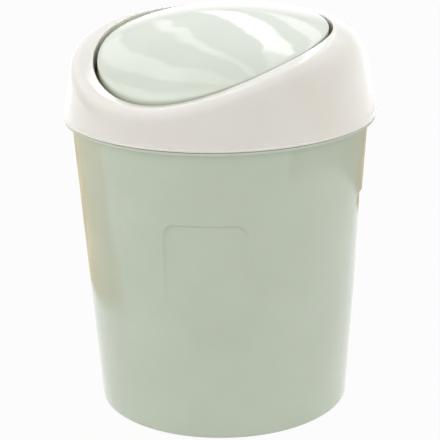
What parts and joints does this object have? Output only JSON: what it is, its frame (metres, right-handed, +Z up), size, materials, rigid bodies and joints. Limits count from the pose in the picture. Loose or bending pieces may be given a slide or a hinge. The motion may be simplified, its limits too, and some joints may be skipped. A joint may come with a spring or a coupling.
{
  "type": "countertop trash can with swing lid",
  "caption": "Small round countertop bin: a tapered bucket under a domed collar whose slanted round opening holds a counterweighted swing flap.",
  "frame": {"origin": "centre of the bucket's base, on the surface it stands on", "axes": "+Z up; the low side of the slanted opening faces -Y and the flap's pivot axis is parallel to X"},
  "size_m": [0.16, 0.16, 0.2041],
  "materials": {
    "bucket_plastic": "smooth semi-gloss moulded plastic",
    "collar_plastic": "polished moulded plastic",
    "flap_plastic": "polished moulded plastic",
    "pin_plastic": "plain moulded acetal",
    "weight_steel": "zinc-plated bar"
  },
  "bodies": {
    "bin": {"bucket": "bucket_plastic"},
    "lid": {"lid_ring": "collar_plastic"},
    "flap": {"swing_flap": "flap_plastic", "pivot_pin_left": "pin_plastic", "pivot_pin_right": "pin_plastic", "counterweight": "weight_steel"}
  },
  "joints": [
    {"name": "lid_lift", "type": "slide", "parent": "bin", "child": "lid", "axis": [0, 0, 1], "range_m": [0, 0.06]},
    {"name": "flap_swing", "type": "hinge", "parent": "lid", "child": "flap", "pos_m": [0, -0.0049, 0.18813], "axis": [1, 0, 0], "range_deg": [-85, 85]}
  ]
}
